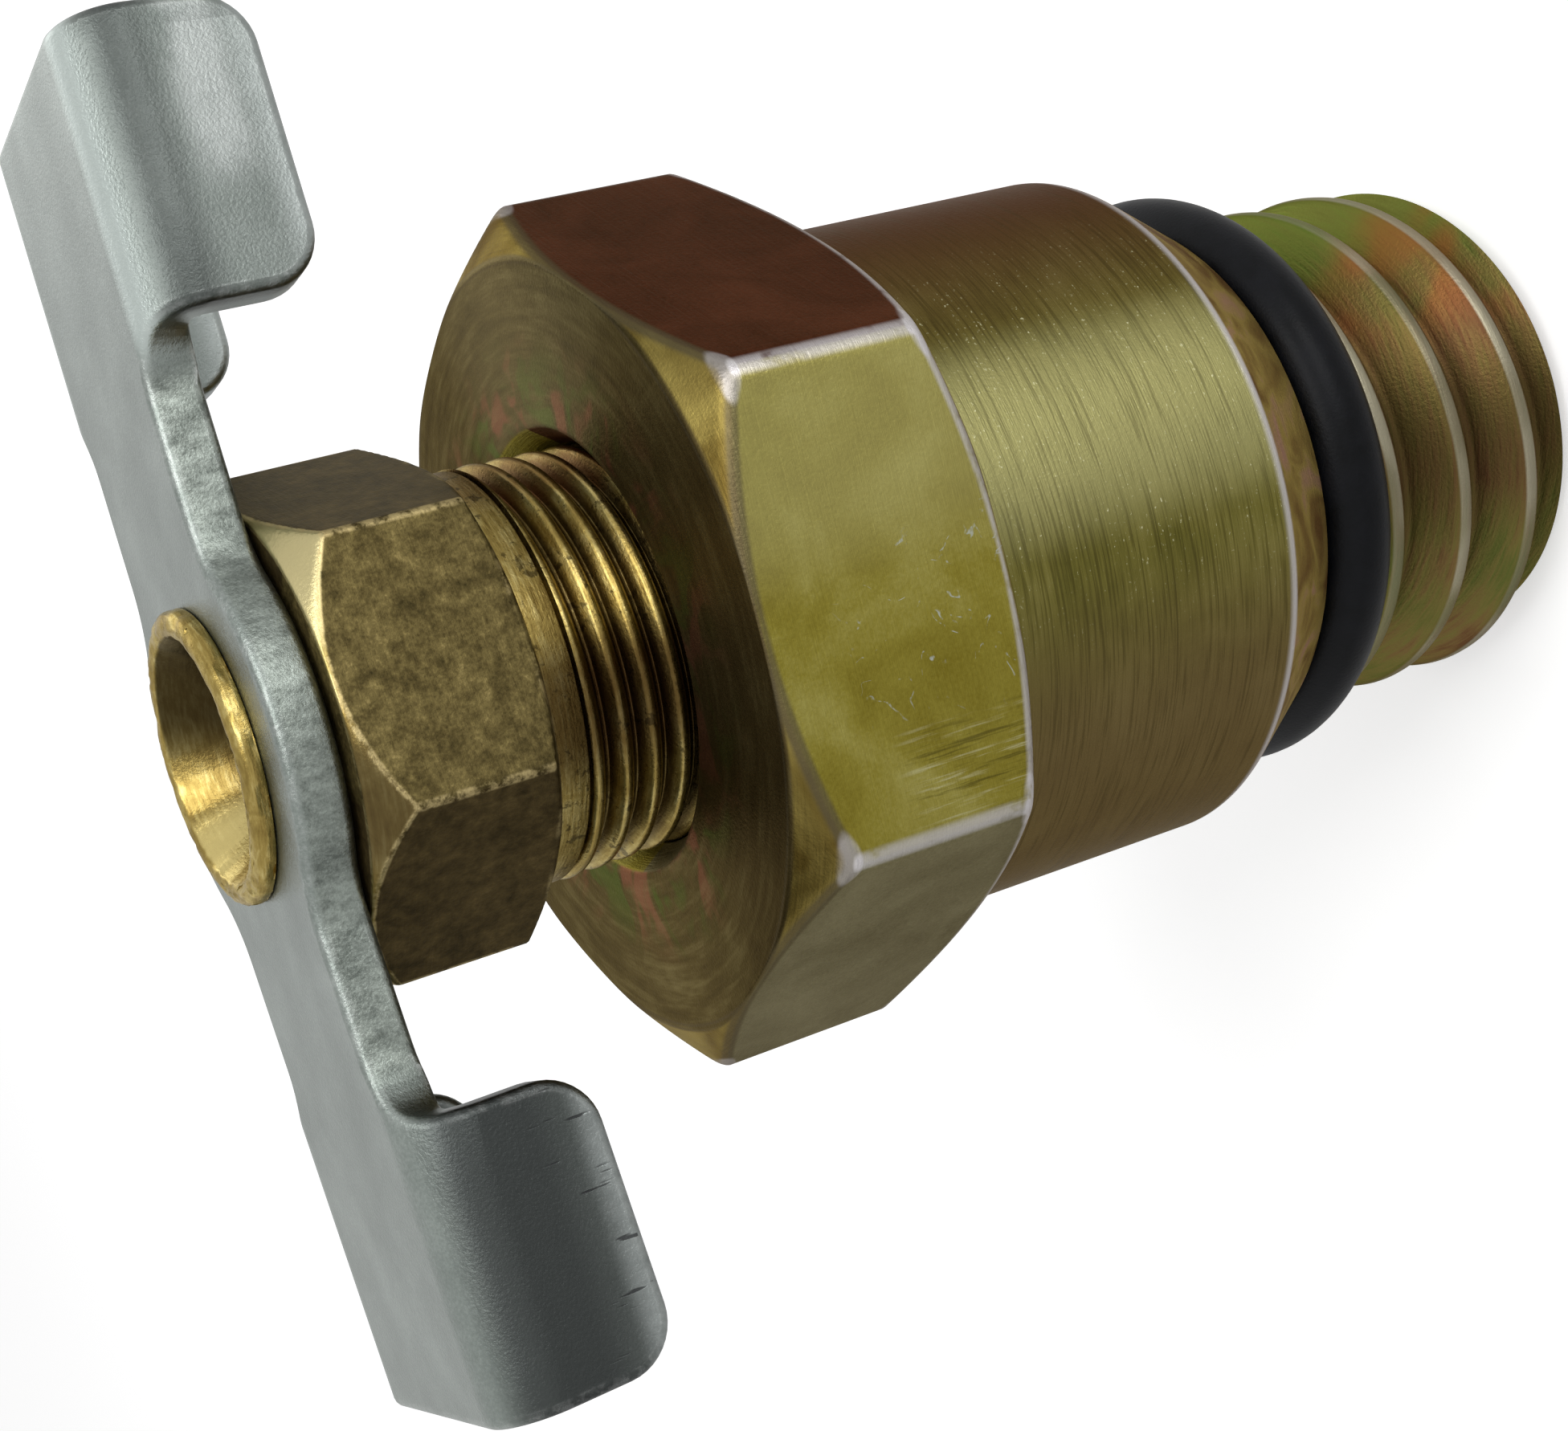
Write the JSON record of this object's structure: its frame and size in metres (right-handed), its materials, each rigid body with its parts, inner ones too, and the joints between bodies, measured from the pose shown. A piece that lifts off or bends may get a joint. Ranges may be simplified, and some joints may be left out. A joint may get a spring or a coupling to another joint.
{
  "type": "fuel filter drain petcock",
  "caption": "Screw-in drain cock: steel hexagon adapter with O-ring, brass cock body, and a hollow needle stem turned by a stamped wing handle.",
  "frame": {"origin": "centre of the nose's end face, on the thread axis", "axes": "+Z along the thread axis, from the threaded nose up to the wing handle; +X along the closed handle"},
  "size_m": [0.0318, 0.0204, 0.0367],
  "materials": {
    "zinc_steel": "turned steel with an iridescent yellow zinc coating",
    "black_rubber": "smooth",
    "tarnished_brass": "turned, tarnished on the hexagon",
    "handle_steel": "satin nickel over stamped steel"
  },
  "bodies": {
    "fitting": {"adapter_body": "zinc_steel", "adapter_o_ring": "black_rubber", "cock_body": "tarnished_brass"},
    "seal": {"stem_seal_ring": "black_rubber"},
    "stem": {"valve_stem": "tarnished_brass", "wing_handle": "handle_steel"}
  },
  "joints": [
    {"name": "stem_lift", "type": "slide", "parent": "fitting", "child": "seal", "axis": [0, 0, 1], "range_m": [0, 0.0016]},
    {"name": "handle_turn", "type": "hinge", "parent": "seal", "child": "stem", "pos_m": [0, 0, 0.03], "axis": [0, 0, 1], "range_deg": [0, 630]}
  ],
  "couplings": [
    {"joint": "stem_lift", "follows": "handle_turn", "m_per_rad": 0.00014435}
  ]
}
